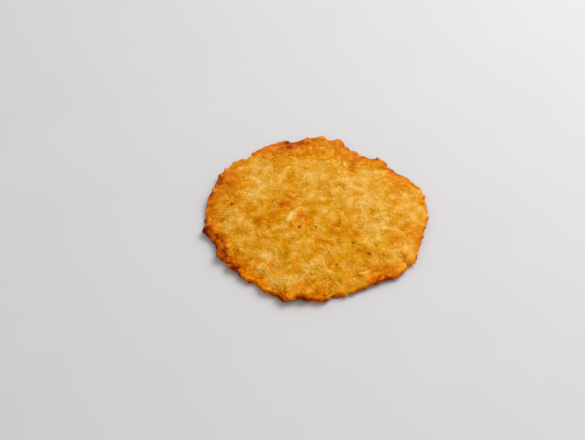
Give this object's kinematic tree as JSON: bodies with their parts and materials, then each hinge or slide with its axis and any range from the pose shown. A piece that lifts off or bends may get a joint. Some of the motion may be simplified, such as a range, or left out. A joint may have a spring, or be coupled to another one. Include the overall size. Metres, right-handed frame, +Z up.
{
  "type": "potato pancake",
  "caption": "Round flat potato pancake of grated potato, fried golden on both faces, with a craggy browned rim.",
  "frame": {"origin": "on the surface that the pancake lies on, under the middle of its box", "axes": "+Z up through its thickness; -Y towards the side that is nearest in the picture, +X to the right as seen from there"},
  "size_m": [0.1216, 0.118, 0.0083],
  "materials": {
    "fried_potato": "grated potato fried in oil: golden, mottled with paler shreds and orange-brown crisp patches, darker at the rim, with a slight oily gloss"
  },
  "bodies": {
    "root": {"pancake": "fried_potato"}
  },
  "joints": []
}
